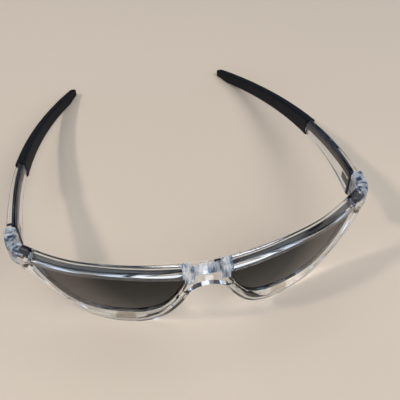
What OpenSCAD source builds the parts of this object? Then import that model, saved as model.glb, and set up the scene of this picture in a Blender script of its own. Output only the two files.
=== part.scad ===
// Wrap sunglasses: a clear moulded full-rim front, two tinted lenses, separate hinge lugs,
// three-knuckle metal hinges and clear arms with black rubber ear sleeves.
// They stand on the lower rims and the sleeve tips, as on a table: +Z up, the front faces -Y.
// Left and right are the wearer's, so the left side is +X. Sizes are in millimetres.

/* [Front curve] */
// Radius of the ball that the front face and both lenses follow
base_r = 114; // [100:1:130]
// Height at which the front face comes furthest forward
curve_z = 34.4; // [31:0.2:37]
// Depth of the front from its face to its back
front_d = 4.8; // [4.6:0.1:6]
// How far the seam between front and lug lies beyond the lens
seam_out = 4.1; // [3.6:0.1:4.6]

/* [Lenses] */
// Width of one lens
lens_w = 55.2; // [53:0.2:56]
// Height of one lens
lens_h = 29; // [27:0.2:31]
// Distance from the middle of the nose to the lens
lens_x = 7.1; // [6.8:0.1:8]
// Height of the lens's lowest edge above the table
lens_z = 6.8; // [6:0.1:8]
// Lens thickness
lens_t = 2; // [1.6:0.1:2.2]
// How far the lens lies behind the front face
lens_set = 1.7; // [1.2:0.1:1.8]

/* [Rims] */
// Depth of the lens groove
groove_d = 1.2; // [0.8:0.1:1.5]
// Clearance round a lens in its groove
groove_gap = 0.1; // [0.05:0.01:0.15]
// Rim width beside the nose
rim_nose = 2.4; // [2.2:0.1:3]
// Rim width below the lens
rim_low = 7.5; // [7.1:0.1:8]
// Rim width at the outer side
rim_side = 2.4; // [2:0.1:3]
// Height of the brow bar above the lens
rim_top = 2.3; // [2.2:0.1:3]
// Rounding of the long outer edges
rim_round = 1; // [0.6:0.1:1.1]

/* [Bridge] */
// Distance from the middle to where each brow bar ends
bar_x = 9.2; // [8.8:0.1:10]
// Height of the bridge's top face
bridge_top = 36.6; // [36:0.1:37.2]
// Step from the brow bar back to the ribbed shoulder
shoulder_set = 1; // [0.6:0.1:1.2]
// Step from the brow bar back to the middle of the bridge
bridge_set = 2.1; // [1.6:0.1:2.4]
// Half width of the smooth middle
bridge_half = 4.6; // [4:0.1:5]
// Number of fine ribs on each shoulder
rib_count = 3; // [2:1:4]
// Width of one rib
rib_w = 0.6; // [0.4:0.1:0.8]
// Height of a rib above the shoulder
rib_h = 0.45; // [0.3:0.05:0.6]
// How far the ribs reach down below the top of the lens
rib_l = 6.5; // [4:0.5:8]
// Radius of the arch over the nose
arch_r = 9.7; // [9:0.1:10]
// Height of the arch's centre
arch_z = 16.2; // [15.6:0.1:16.6]

/* [Nose pads] */
// Height of the upper end of a pad
pad_top = 22.5; // [21:0.1:24]
// Height of the lower end of a pad
pad_low = 9.5; // [8.5:0.1:11]
// Depth of a pad from front to back
pad_d = 6.4; // [5:0.1:7]
// Thickness of a pad
pad_t = 2.8; // [2:0.1:3.2]
// Flare of the pads towards the back
pad_flare = 24; // [10:1:30]

/* [Hinge lugs] */
// Distance from the middle to a lug's outer face at the hinge
lug_out = 71.1; // [70.4:0.1:72]
// Thickness of a lug at the hinge
lug_w = 4.9; // [4.7:0.1:5.2]
// Depth from the seam back to the hinge
lug_l = 13.7; // [12:0.1:16]
// How far a lug's top stands above the lens at the seam
lug_rise = 3.1; // [2.8:0.1:3.4]
// How much a lug's top drops from the seam to the hinge
lug_drop = 0.9; // [0:0.1:1.2]
// Height of a lug at the seam
lug_h_front = 7.6; // [7:0.1:8.2]
// Height of a lug at the hinge
lug_h = 13.4; // [12.4:0.1:14.4]
// Radius of the steel dowels that join a lug to the front
dowel_r = 0.65; // [0.5:0.05:0.75]
// Length of a dowel
dowel_l = 5; // [4:0.1:6]
// How far the dowels lie above the lens
dowel_rise = 1.1; // [1:0.1:1.3]
// How far each dowel lies in from the front's face or back
dowel_in = 1.35; // [1.2:0.05:1.5]

/* [Hinges] */
// How far the hinge's axis lies in from a lug's inner face
hinge_in = 0.9; // [0.8:0.05:1.1]
// Outer radius of the hinge knuckles
knuckle_r = 1.3; // [1.15:0.05:1.4]
// Height of one knuckle
knuckle_h = 2.6; // [2.2:0.1:2.8]
// Radius of the hinge screw
screw_r = 0.6; // [0.5:0.05:0.7]
// Radius of the screw's head
head_r = 1.1; // [0.9:0.05:1.2]
// Thickness of the screw's head
head_h = 0.7; // [0.5:0.05:0.9]
// How far the middle of the hinge lies below a lug's top
knuckle_down = 6.4; // [6:0.1:6.8]
// Thickness of the hinge leaves
leaf_t = 1; // [0.8:0.05:1.2]
// Length of the leaf in a lug
leaf_l = 4.6; // [4:0.1:5.4]
// Length of the leaf in an arm
arm_leaf_l = 6; // [5:0.1:7]
// Height of the leaf in an arm
arm_leaf_h = 3.3; // [2.8:0.1:3.6]
// Radius of the rivets through the leaves
rivet_r = 0.6; // [0.4:0.05:0.7]

/* [Arms] */
// Outer face of an arm, measured in from the lug's outer face
arm_step = 0.7; // [0.3:0.1:1]
// Height of an arm at the hinge
arm_h = 12.8; // [11.5:0.1:13.2]
// Height that the arm's taper ends at
arm_tip_h = 5; // [4.4:0.1:5.6]
// Length over which most of the taper takes place
arm_taper = 50; // [42:1:58]
// Thickness of an arm at the hinge
arm_t = 4.2; // [4:0.1:4.4]
// Thickness of an arm at its tip
arm_tip_t = 2.7; // [2.2:0.1:3.2]
// Step from a lug's top down to the arm's top
arm_drop = 0.3; // [0.1:0.1:0.6]
// Height of the top of an arm at its tip
tip_top = 3.8; // [3.4:0.1:4.6]
// Distance behind the hinge at which the arm begins to slope down
slope_start = 8; // [6:0.5:12]
// Length over which the slope sets in
slope_ease = 7.7; // [5:0.1:10]
// Distance behind the hinge at which the arm begins to curve inwards
bend_start = 22; // [15:1:30]
// Radius of the inward curve
bend_r = 232; // [200:1:280]
// Length from the hinge to the sleeve's tip
arm_l = 131; // [125:0.5:136]

// Rounding of an arm's long edges
arm_round = 1.6; // [0.8:0.1:1.7]
// Rounding of an arm's lower edges at the hinge
arm_edge = 0.4; // [0.3:0.1:0.8]
// Distance behind the hinge at which the lower edges are fully rounded
edge_run = 26; // [20:1:32]
// Height of the steel strip inside an arm
strip_h = 3; // [2.6:0.1:3.2]
// Thickness of the strip
strip_t = 1.1; // [0.8:0.1:1.3]
// Plastic above the strip
strip_down = 1.2; // [1:0.1:1.3]
// Plastic between the strip and the arm's inner face
strip_in = 1; // [0.9:0.1:1.2]
// How far the strip reaches into the sleeve
strip_reach = 16; // [8:1:24]

/* [Sleeves] */
// Distance behind the hinge at which the sleeve begins
sleeve_start = 48.5; // [43:0.5:55]
// Wall of the rubber sleeve
sleeve_wall = 1; // [0.8:0.05:1.1]
// How far the sleeve stands proud of the arm
sleeve_proud = 0.4; // [0.2:0.05:0.6]
// Distance from the end of the arm to the tip of the sleeve
core_end = 14; // [10:0.5:25]
// Rounding of the tip
tip_round = 1.7; // [1.2:0.1:1.8]

/* [Hidden] */

clear = [0.86, 0.91, 0.95, 0.45];
frosted = [0.72, 0.79, 0.87, 0.7];
tint = [0.2, 0.18, 0.17, 0.8];
soft_clear = [0.9, 0.93, 0.95, 0.6];
rubber = [0.06, 0.06, 0.07];
metal = [0.35, 0.37, 0.4];

fit = 0.05;         // radial gap round a pin, rivet or leaf
seam_gap = 0.1;     // between the front and a lug, and under a nose pad
swing_gap = 0.3;    // between a lug and its arm
knuckle_gap = 0.1;  // between two knuckles
pocket_gap = 0.25;  // round the knuckles in the plastic
eps = 0.01;

lens_top = lens_z + lens_h;
seam_angle = asin((lens_x + lens_w + seam_out) / base_r);
hinge_y = base_r * (1 - cos(seam_angle)) + lug_l;
lug_in = lug_out - lug_w;
lug_top_front = lens_top + lug_rise;
lug_top = lug_top_front - lug_drop;
lug_low_front = lug_top_front - lug_h_front;
lug_low = lug_top - lug_h;
hinge_x = lug_in + hinge_in;
swing_y = hinge_y + swing_gap / 2;
slope_y = hinge_y + slope_start;
bend_y = hinge_y + bend_start;
sleeve_y = hinge_y + sleeve_start;
tip_y = hinge_y + arm_l;
front_y = base_r - sqrt(pow(base_r, 2) - pow(bar_x, 2));
half_depth = (front_y + tip_y) / 2;

// The opening in a rim: [x, z] for an opening of 53 by 26.8, and the way from each point to
// the rim's outer edge, in order down the nose side, along the bottom, up and back along the top.
outline_w = 53;
outline_h = 26.8;
outline = [
    [[-0.3, 22.5], [-3.6, 1.2]], [[3, 14.8], [-rim_nose - 1.1, -1.7]],
    [[7.3, 6.4], [-rim_nose - 0.6, -2.2]], [[13.7, 0.9], [-3.2, 1.5 - rim_low]],
    [[23, -0.6], [-0.5, -rim_low - 1.7]], [[33.2, 0.4], [1.5, 1.3 - rim_low]],
    [[40.3, 3.4], [1.9, -2.3]], [[46.2, 11.3], [rim_side - 0.5, -1.3]],
    [[51.6, 21.1], [rim_side + 2.2, -1.9]], [[53.8, 27.1], [10.5, rim_top + 2.6]],
    [[49.8, 26.3], [3.5, rim_top + 1.9]], [[40.7, 25.7], [0, rim_top + 1.1]],
    [[30.6, 26.5], [0, rim_top + 0.9]], [[19.9, 26.2], [-0.3, rim_top + 1.4]],
    [[8.5, 25.3], [-0.6, rim_top + 2.1]], [[-0.7, 25.1], [-3, rim_top + 2.6]],
];
outline_steps = 4;
outline_n = len(outline) * outline_steps;

// Weights of the closed cubic spline, and of its direction
function spline_weights(u) = [
    pow(1 - u, 3), 3 * pow(u, 3) - 6 * pow(u, 2) + 4,
    -3 * pow(u, 3) + 3 * pow(u, 2) + 3 * u + 1, pow(u, 3)
] / 6;
function spline_slopes(u) = [
    -pow(1 - u, 2), 3 * pow(u, 2) - 4 * u, -3 * pow(u, 2) + 2 * u + 1, pow(u, 2)
] / 2;
function weighed(points, k, c) =
    let (n = len(points))
    points[(k + n - 1) % n] * c[0] + points[k % n] * c[1]
    + points[(k + 1) % n] * c[2] + points[(k + 2) % n] * c[3];
function on_loop(points, t) = weighed(points, floor(t), spline_weights(t - floor(t)));
function slope_of(points, t) = weighed(points, floor(t), spline_slopes(t - floor(t)));

edge_in = groove_d - groove_gap;
open_loop = [for (p = outline) [
    lens_x + edge_in + p[0][0] * (lens_w - 2 * edge_in) / outline_w,
    lens_z + edge_in + p[0][1] * (lens_h - 2 * edge_in) / outline_h]];
rim_loop = [for (i = [0:len(outline) - 1]) open_loop[i] + outline[i][1]];

function unit(v) = v / norm(v);
// A place on the opening's edge, or a distance out from it
function open_edge(t, out) =
    let (d = unit(slope_of(open_loop, t))) on_loop(open_loop, t) + out * [d[1], -d[0]];
function rim_edge(t) = let (p = on_loop(rim_loop, t)) [p[0], max(p[1], 0)];

// Depth of a point on a ball that lies a set distance behind the front face
function ball_y(p, set) =
    base_r - sqrt(pow(base_r - set, 2) - pow(p[0], 2) - pow(p[1] - curve_z, 2));

// A closed skin through rings of equal size, with flat ends
module loft(rings) {
    n = len(rings[0]);
    m = len(rings);
    polyhedron(
        points = [for (ring = rings) each ring],
        faces = concat(
            [[for (j = [0:n - 1]) j]],
            [for (i = [0:m - 2], j = [0:n - 1])
                let (a = i * n + j, b = i * n + (j + 1) % n) each [[a, a + n, b], [b, a + n, b + n]]],
            [[for (j = [n - 1:-1:0]) (m - 1) * n + j]]
        ),
        convexity = 6
    );
}

// The same skin round a closed track
module closed_loft(rings) {
    n = len(rings[0]);
    m = len(rings);
    polyhedron(
        points = [for (ring = rings) each ring],
        faces = [for (i = [0:m - 1], j = [0:n - 1])
            let (k = (i + 1) % m, a = i * n + j, b = i * n + (j + 1) % n,
                 c = k * n + j, d = k * n + (j + 1) % n)
            each [[a, c, b], [b, c, d]]],
        convexity = 6
    );
}

// Corner points of a rectangle from [0, 0] to [w, h], rounded by r at its top and low_r at its bottom
function rounded_box(w, h, r, low_r, steps = 3) = [
    for (q = [[w - low_r, low_r, -90, low_r], [w - r, h - r, 0, r], [r, h - r, 90, r], [low_r, low_r, 180, low_r]],
         k = [0:steps])
        [q[0] + q[3] * cos(q[2] + 90 * k / steps), q[1] + q[3] * sin(q[2] + 90 * k / steps)]
];

// Section of the rim: [distance, depth], from the outer edge inwards, then from the opening outwards
rim_outside = let (r = rim_round, d = front_d) [
    [r, 0], [r / 2, r * 0.134], [r * 0.134, r / 2], [0, r],
    [0, d - r], [r * 0.134, d - r / 2], [r / 2, d - r * 0.134], [r, d],
];
rim_inside = let (e = 0.4, g0 = lens_set - groove_gap, g1 = lens_set + lens_t + groove_gap) [
    [e, front_d], [0, front_d - e], [0, g1], [groove_d, g1], [groove_d, g0], [0, g0], [0, e], [e, 0],
];

module rim() {
    closed_loft([for (i = [0:outline_n - 1])
        let (t = i / outline_steps, outer = rim_edge(t), way = unit(outer - open_edge(t, 0)))
        [for (p = concat([for (s = rim_outside) [outer - way * s[0], s[1]]],
                         [for (s = rim_inside) [open_edge(t, s[0]), s[1]]]))
            [p[0][0], ball_y(p[0], p[1]), p[0][1]]]
    ]);
}

module both_sides() {
    children();
    mirror([1, 0, 0]) children();
}

// Everything beyond the seam on the left side
module beyond_seam(gap = 0) {
    translate([0, base_r, 0]) rotate([0, 0, seam_angle])
        translate([gap, -1.2 * base_r, -lens_h]) cube([base_r, base_r, 3 * lens_h]);
}

// The bridge's profile, seen from the side: a slanted top face over an upright front face
module bridge_block() {
    y0 = bridge_set;
    y1 = front_d + 0.9;
    rotate([90, 0, 90]) translate([0, 0, -7.2]) linear_extrude(14.4)
        polygon([
            [y0 + 0.3, arch_z], [y0, arch_z + 8], [y0, bridge_top - 4], [y0 + 0.5, bridge_top - 2.8],
            [y0 + 1.9, bridge_top - 0.6], [y0 + 2.7, bridge_top - 0.1], [y1 - 0.8, bridge_top - 0.1],
            [y1, bridge_top - 0.9], [y1 + 0.6, arch_z + 8], [y1 + 1, arch_z],
        ]);
}

// Ribs that run up the shoulder's face and back over its top
module shoulder_ribs() {
    pitch = (bar_x - bridge_half) / (rib_count + 0.5);
    y0 = shoulder_set + front_y - rib_h;
    y1 = front_d + front_y;
    z0 = lens_top - rib_l;
    z1 = bridge_top + rib_h;
    sunk = 0.3;
    for (i = [0:rib_count - 1]) {
        translate([bar_x - (i + 1) * pitch, 0, 0]) rotate([90, 0, 90]) linear_extrude(rib_w)
            polygon([
                [y0, z0], [y0 + rib_h + sunk, z0], [y0 + rib_h + sunk, bridge_top - sunk],
                [y1, bridge_top - sunk], [y1, z1], [y0 + rib_h, z1], [y0, bridge_top],
            ]);
    }
}

// What the ribbed shoulders and the arch take away from the two rims and the bridge
module bridge_cuts() {
    low = curve_z - 9;
    translate([-bar_x, -5, low]) cube([2 * bar_x, 5 + front_y + shoulder_set, 20]);
    translate([-bar_x, -5, bridge_top]) cube([2 * bar_x, 20, 20]);
    translate([-bridge_half, -5, low]) cube([2 * bridge_half, 5 + bridge_set, 20]);
    translate([0, -5, arch_z]) rotate([-90, 0, 0]) cylinder(h = 30, r = arch_r, $fn = 96);
}

// Two short dowels across the seam, one behind the other
module dowels(gap = 0) {
    for (set = [dowel_in, front_d - dowel_in]) {
        translate([0, base_r, lens_top + dowel_rise]) rotate([0, 0, seam_angle])
            translate([-dowel_l / 2 - gap, set - base_r, 0])
                rotate([0, 90, 0]) cylinder(h = dowel_l + 2 * gap, r = dowel_r + gap, $fn = 24);
    }
}

module front_frame() {
    color(clear) difference() {
        union() {
            difference() {
                union() {
                    both_sides() rim();
                    bridge_block();
                }
                bridge_cuts();
                both_sides() beyond_seam();
            }
            both_sides() shoulder_ribs();
        }
        both_sides() dowels(fit);
    }
}

module lens() {
    edge = [for (i = [0:outline_n - 1]) open_edge(i / outline_steps, edge_in)];
    color(tint) intersection() {
        translate([0, base_r / 3, 0]) rotate([90, 0, 0]) linear_extrude(base_r / 3) polygon(edge);
        difference() {
            translate([0, base_r, curve_z]) sphere(base_r - lens_set, $fn = 180);
            translate([0, base_r, curve_z]) sphere(base_r - lens_set - lens_t, $fn = 180);
        }
    }
}

// A soft pad behind the nose side of the rim, widest in the middle of its height
module nose_pad() {
    steps = 8;
    side = 12;
    rings = [for (i = [0:steps])
        let (f = i / steps, z = pad_top + (pad_low - pad_top) * (1 - cos(180 * f)) / 2,
             size = 0.45 + 0.55 * sin(180 * f),
             x = lens_x + 2.4 + 4.7 * pow(f, 1.3),
             half_d = pad_d / 2 * size, half_t = pad_t / 2 * size,
             y = ball_y([x, z], front_d) + seam_gap + pad_d / 2)
        [for (k = [0:side - 1])
            let (a = 360 * k / side, u = half_t * cos(a), v = half_d * sin(a))
            [x + u * cos(pad_flare) + v * sin(pad_flare), y - u * sin(pad_flare) + v * cos(pad_flare), z]]
    ];
    color(soft_clear) loft(rings);
}

function bezier(a, b, c, d, u) =
    a * pow(1 - u, 3) + 3 * b * u * pow(1 - u, 2) + 3 * c * pow(u, 2) * (1 - u) + d * pow(u, 3);

// Plan of a lug: from the seam, square to the front, round to the hinge, square to the arm
function lug_plan(u, set, x_end) =
    let (along = [cos(seam_angle), sin(seam_angle)], out = [sin(seam_angle), -cos(seam_angle)],
         a = [0, base_r] + out * (base_r - set) + along * seam_gap, d = [x_end, hinge_y],
         reach = norm(d - a) * 0.36)
    bezier(a, a + along * reach, d - [0, reach], d, u);

module lug_body() {
    steps = 10;
    loft([for (i = [0:steps])
        let (u = i / steps, outer = lug_plan(u, 0, lug_out), inner = lug_plan(u, front_d, lug_in),
             top = lug_top_front + (lug_top - lug_top_front) * u,
             low = lug_low_front + (lug_low - lug_low_front) * pow(u, 3), w = norm(inner - outer))
        [for (s = rounded_box(w, top - low, rim_round, rim_round))
            let (p = inner + (outer - inner) * s[0] / w) [p[0], p[1], low + s[1]]]
    ]);
}

leaf_start = knuckle_r + pocket_gap - knuckle_gap;

// Steel leaf set in the plastic, with webs in to the knuckles; dir is 1 for the lug, -1 for the arm
module leaf(dir, z0, z1, length, webs, gap = 0) {
    near = swing_y - dir * leaf_start;
    translate([hinge_x - leaf_t / 2 - gap, min(near, near - dir * length) - gap, z0 - gap])
        cube([leaf_t + 2 * gap, length + 2 * gap, z1 - z0 + 2 * gap]);
    for (z = webs) {
        translate([hinge_x - leaf_t / 2 - gap, min(near, swing_y) - gap, z - gap])
            cube([leaf_t + 2 * gap, leaf_start + 2 * gap, knuckle_h + 2 * gap]);
    }
}

knuckle_z = lug_top - knuckle_down;
knuckle_pitch = knuckle_h + knuckle_gap;
knuckle_low = knuckle_z - knuckle_h / 2 - knuckle_pitch;
knuckle_mid = knuckle_z - knuckle_h / 2;
knuckle_up = knuckle_mid + knuckle_pitch;

module knuckle(z) {
    translate([hinge_x, swing_y, z]) cylinder(h = knuckle_h, r = knuckle_r, $fn = 48);
}

module knuckle_bore() {
    translate([hinge_x, swing_y, knuckle_low - 1])
        cylinder(h = 3 * knuckle_pitch + 2, r = screw_r + fit, $fn = 32);
}

// Room for the turning knuckles and the screw's head
module knuckle_pocket() {
    translate([hinge_x, swing_y, knuckle_low - pocket_gap])
        cylinder(h = 3 * knuckle_pitch + head_h + 2 * pocket_gap, r = knuckle_r + pocket_gap, $fn = 48);
}

// Where the inner edges of lug and arm are cut away so that the arm can fold
module fold_notch() {
    reach = hinge_in + knuckle_r;
    translate([hinge_x, swing_y, lug_low - lug_h]) linear_extrude(3 * lug_h)
        polygon([[swing_gap / 2, 0], [-reach, 1.1 * reach + swing_gap], [-reach, -1.1 * reach - swing_gap]]);
}

module lug_leaf(gap = 0) {
    top = knuckle_up + knuckle_h;
    leaf(1, knuckle_mid + knuckle_h / 3, top, leaf_l, [], gap);
    leaf(1, knuckle_low, top, leaf_l / 3, [knuckle_low, knuckle_up], gap);
}

// The arm's leaf lies lower than the strip
arm_leaf_top = knuckle_mid + 0.6 * knuckle_h;

module arm_leaf(gap = 0) {
    leaf(-1, arm_leaf_top - arm_leaf_h, arm_leaf_top, arm_leaf_l, [knuckle_mid], gap);
}

// Two rivets across a leaf, from just under the inner face to just under the outer face
module rivets(dir, shares, length, z, from, to, gap = 0) {
    for (share = shares) {
        translate([from - gap, swing_y - dir * (leaf_start + share * length), z])
            rotate([0, 90, 0]) cylinder(h = to - from + 2 * gap, r = rivet_r + gap, $fn = 24);
    }
}

module lug_rivets(gap = 0) {
    rivets(1, [0.3, 0.75], leaf_l, knuckle_up + knuckle_h / 3, lug_in + 0.1, lug_out - 1.1, gap);
}

module arm_rivets(gap = 0) {
    rivets(-1, [0.3, 0.7], arm_leaf_l, arm_leaf_top - arm_leaf_h / 2, lug_in + 0.4, lug_out - arm_step - 0.4, gap);
}

module lug() {
    color(frosted) difference() {
        lug_body();
        knuckle_pocket();
        fold_notch();
        lug_leaf(fit);
        lug_rivets(fit);
        dowels(fit);
    }
}

module lug_hinge() {
    color(metal) difference() {
        union() {
            knuckle(knuckle_low);
            knuckle(knuckle_up);
            lug_leaf();
        }
        knuckle_bore();
        lug_rivets(fit);
    }
}

module arm_hinge() {
    color(metal) difference() {
        union() {
            knuckle(knuckle_mid);
            arm_leaf();
        }
        knuckle_bore();
        arm_rivets(fit);
    }
}

module hinge_screw() {
    top = knuckle_up + knuckle_h + knuckle_gap / 2;
    color(metal) translate([hinge_x, swing_y, 0]) difference() {
        union() {
            translate([0, 0, knuckle_low]) cylinder(h = top - knuckle_low + eps, r = screw_r, $fn = 32);
            translate([0, 0, top]) cylinder(h = head_h, r = head_r, $fn = 32);
        }
        translate([-head_r, -0.15, top + head_h - 0.3]) cube([2 * head_r, 0.3, 1]);
    }
}

// The arm's outer face, thickness, top edge and lower edge at a depth behind the front
function arm_out(y) =
    lug_out - arm_step - (y > bend_y ? bend_r - sqrt(pow(bend_r, 2) - pow(y - bend_y, 2)) : 0);
function arm_thick(y) = arm_t + (arm_tip_t - arm_t) * (y - hinge_y) / (tip_y - hinge_y);
function eased(d) = (d + sqrt(d * d + slope_ease * slope_ease)) / 2;
function arm_top(y) =
    let (start = lug_top - arm_drop) start - (start - tip_top) * eased(y - slope_y) / eased(tip_y - slope_y);
function arm_high(y) = arm_tip_h + (arm_h - arm_tip_h) * exp((hinge_y - y) / arm_taper);
function arm_bottom(y) = max(arm_top(y) - arm_high(y), 0);

// Section of the arm, grown or shrunk all round, but never below the table
function arm_ring(y, grow, r) =
    let (low = max(arm_bottom(y) - grow, 0), high = arm_top(y) + grow,
         x0 = arm_out(y) - arm_thick(y) - grow, w = arm_thick(y) + 2 * grow,
         low_r = min(r, arm_edge + (arm_round - arm_edge) * max(y - hinge_y, 0) / edge_run))
    [for (s = rounded_box(w, high - low, r, low_r)) [x0 + s[0], y, low + s[1]]];

arm_start = hinge_y + swing_gap;
core_y = tip_y - core_end;
core_shrink = sleeve_proud - sleeve_wall - fit;

// The strip that stiffens an arm: it follows the arm from the knuckles back into the sleeve.
// Its channel opens into the knuckles' pocket.
module arm_strip(gap = 0, ahead = 0) {
    steps = 16;
    start = swing_y + knuckle_r + pocket_gap + 0.3 - ahead;
    end = sleeve_y + strip_reach + gap;
    loft([for (i = [0:steps])
        let (y = start + (end - start) * i / steps, x = arm_out(y) - arm_thick(y) + strip_in,
             high = arm_top(y) - strip_down + gap, low = high - strip_h - 2 * gap)
        [[x - gap, y, low], [x - gap, y, high], [x + strip_t + gap, y, high], [x + strip_t + gap, y, low]]
    ]);
}

module arm() {
    body_steps = 14;
    core_steps = 14;
    rings = concat(
        [for (i = [0:body_steps])
            arm_ring(arm_start + (sleeve_y - arm_start) * i / body_steps, 0, arm_round)],
        [for (i = [0:core_steps])
            arm_ring(sleeve_y + (core_y - sleeve_y) * i / core_steps, core_shrink, 0.5)]
    );
    color(clear) difference() {
        loft(rings);
        knuckle_pocket();
        fold_notch();
        arm_leaf(fit);
        arm_rivets(fit);
        arm_strip(fit, 0.6);
    }
}

module sleeve() {
    steps = 16;
    start = sleeve_y + fit;
    last = tip_y - tip_round;
    rings = concat(
        [for (i = [steps:-1:0])
            arm_ring(start + (core_y + fit - start) * i / steps, core_shrink + fit, 0.5 + fit)],
        [for (i = [0:steps]) arm_ring(start + (last - start) * i / steps, sleeve_proud, 1.1)],
        [for (a = [30:30:90])
            let (y = last + tip_round * sin(a), shrink = tip_round * (1 - cos(a)))
            [for (p = arm_ring(last, sleeve_proud - shrink * 0.9, 1.1 - shrink * 0.4))
                [p[0] + arm_out(y) - arm_out(last), y,
                 max(p[2] + arm_top(y) - arm_top(last), 0) + shrink * 0.3]]]
    );
    color(rubber) loft(rings);
}

module placed(side) {
    translate([0, -half_depth, 0]) mirror([side > 0 ? 0 : 1, 0, 0]) children();
}

placed(1) front_frame();
placed(1) lens();  // left_lens
placed(-1) lens();  // right_lens
placed(1) nose_pad();  // left_nose_pad
placed(-1) nose_pad();  // right_nose_pad
placed(1) lug();  // left_lug
placed(-1) lug();  // right_lug
placed(1) color(metal) dowels();  // left_lug_dowels
placed(-1) color(metal) dowels();  // right_lug_dowels
placed(1) lug_hinge();  // left_lug_hinge
placed(-1) lug_hinge();  // right_lug_hinge
placed(1) color(metal) lug_rivets();  // left_lug_rivets
placed(-1) color(metal) lug_rivets();  // right_lug_rivets
placed(1) hinge_screw();  // left_hinge_screw
placed(-1) hinge_screw();  // right_hinge_screw
placed(1) arm_hinge();  // left_arm_hinge
placed(-1) arm_hinge();  // right_arm_hinge
placed(1) color(metal) arm_rivets();  // left_arm_rivets
placed(-1) color(metal) arm_rivets();  // right_arm_rivets
placed(1) color(metal) arm_strip();  // left_arm_strip
placed(-1) color(metal) arm_strip();  // right_arm_strip
placed(1) arm();  // left_arm
placed(-1) arm();  // right_arm
placed(1) sleeve();  // left_sleeve
placed(-1) sleeve();  // right_sleeve
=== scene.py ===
import math

import bmesh
import bpy
import numpy as np
from mathutils import Matrix, Vector


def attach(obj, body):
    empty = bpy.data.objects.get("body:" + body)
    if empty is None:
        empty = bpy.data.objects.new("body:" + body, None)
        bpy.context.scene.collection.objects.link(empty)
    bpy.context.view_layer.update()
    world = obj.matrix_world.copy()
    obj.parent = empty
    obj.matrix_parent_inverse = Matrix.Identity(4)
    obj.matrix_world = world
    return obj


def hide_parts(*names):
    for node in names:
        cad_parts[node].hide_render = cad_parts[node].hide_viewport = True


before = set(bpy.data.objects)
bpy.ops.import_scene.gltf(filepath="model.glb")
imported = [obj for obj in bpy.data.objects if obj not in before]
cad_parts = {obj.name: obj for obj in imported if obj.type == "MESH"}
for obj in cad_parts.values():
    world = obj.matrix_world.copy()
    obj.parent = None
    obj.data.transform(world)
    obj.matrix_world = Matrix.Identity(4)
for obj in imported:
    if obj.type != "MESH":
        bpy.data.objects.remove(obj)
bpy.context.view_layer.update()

# Sizes of the sunglasses in millimetres, measured from the front of the brow, as in the part's source.
# Left is the wearer's left, at +X. All of it is moved forwards by MIDDLE, so that it stands round the origin.
MM = 0.001
SIDES = (("left", 1), ("right", -1))

# Front and lenses: the ball that both follow, the lens, its groove, and the rim's thickness round it
BASE_R, CURVE_Z, FRONT_D = 114.0, 34.4, 4.8
LENS_W, LENS_H, LENS_X, LENS_Z, LENS_T, LENS_SET = 55.2, 29.0, 7.1, 6.8, 2.0, 1.7
LENS_TOP, SEAM_OUT, SEAM_GAP, SWING_GAP = LENS_Z + LENS_H, 4.1, 0.1, 0.3
GROOVE_D, GROOVE_GAP = 1.2, 0.1
RIM_NOSE, RIM_LOW, RIM_SIDE, RIM_TOP, RIM_ROUND = 2.4, 7.5, 2.4, 2.3, 1.0

# Bevel of the rims' openings. It is wider in front below the brow, from BROW_START under the lens's top
BEVEL, BEVEL_MIDDLE, BROW_BEVEL, BROW_START, BROW_RUN = 0.4, 0.3, 0.4, 6, 4

# Bridge with its ribbed shoulders, the arch over the nose, and the pads
BAR_X, BRIDGE_TOP, SHOULDER_SET, BRIDGE_SET, BRIDGE_HALF, BRIDGE_REACH = 9.2, 36.6, 1.0, 2.1, 4.6, 7.2
RIB_COUNT, RIB_W, RIB_H, RIB_L, RIB_BEND = 3, 0.6, 0.45, 6.5, 0.7
ARCH_R, ARCH_Z = 9.7, 16.2
PAD_TOP, PAD_LOW, PAD_D, PAD_T, PAD_FLARE = 22.5, 9.5, 6.4, 2.8, math.radians(24)
PAD_IN, PAD_SPREAD, PAD_CURVE, PAD_END = 2.4, 4.7, 1.3, 0.45

# Lugs, and the hinges inside them
LUG_OUT, LUG_W, LUG_L, LUG_RISE, LUG_DROP, LUG_REACH = 71.1, 4.9, 13.7, 3.1, 0.9, 0.36
LUG_H_FRONT, LUG_H = 7.6, 13.4
HINGE_IN, KNUCKLE_R, KNUCKLE_H, KNUCKLE_DOWN, KNUCKLE_GAP, HEAD_H = 0.9, 1.3, 2.6, 6.4, 0.1, 0.7
POCKET_GAP, NOTCH_SLOPE = 0.25, 1.1

# Arms and sleeves
ARM_STEP, ARM_H, ARM_TIP_H, ARM_TAPER, ARM_T, ARM_TIP_T, ARM_DROP = 0.7, 12.8, 5.0, 50.0, 4.2, 2.7, 0.3
TIP_TOP, SLOPE_START, SLOPE_EASE, BEND_START, BEND_R, ARM_L = 3.8, 8.0, 7.7, 22.0, 232.0, 131.0
ARM_ROUND, ARM_EDGE, EDGE_RUN, CORE_ROUND = 1.6, 0.4, 26.0, 0.5
SLEEVE_START, SLEEVE_WALL, SLEEVE_PROUD, SLEEVE_ROUND, CORE_END, FIT = 48.5, 1.0, 0.4, 1.1, 14.0, 0.05
TIP_ROUND, TIP_LIFT, TIP_SHRINK, TIP_SHARPEN = 1.7, 0.3, 0.9, 0.4

# How finely the meshes are divided: steps for each point of the outline, rings along a piece, sides round it
RIM_STEPS, LENS_STEPS, LENS_RINGS = 14, 12, 14
PAD_RINGS, PAD_SIDES, LUG_RINGS, ARM_RINGS, CORE_RINGS, SLEEVE_RINGS = 28, 32, 32, 40, 50, 70
ARCH_SIDES, POCKET_SIDES, RIB_SIDES, RIB_BEND_STEPS, CORNER_STEPS = 96, 64, 12, 4, 6
SHARP_ANGLE, MERGE_DISTANCE = math.radians(35), 1e-7

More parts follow.
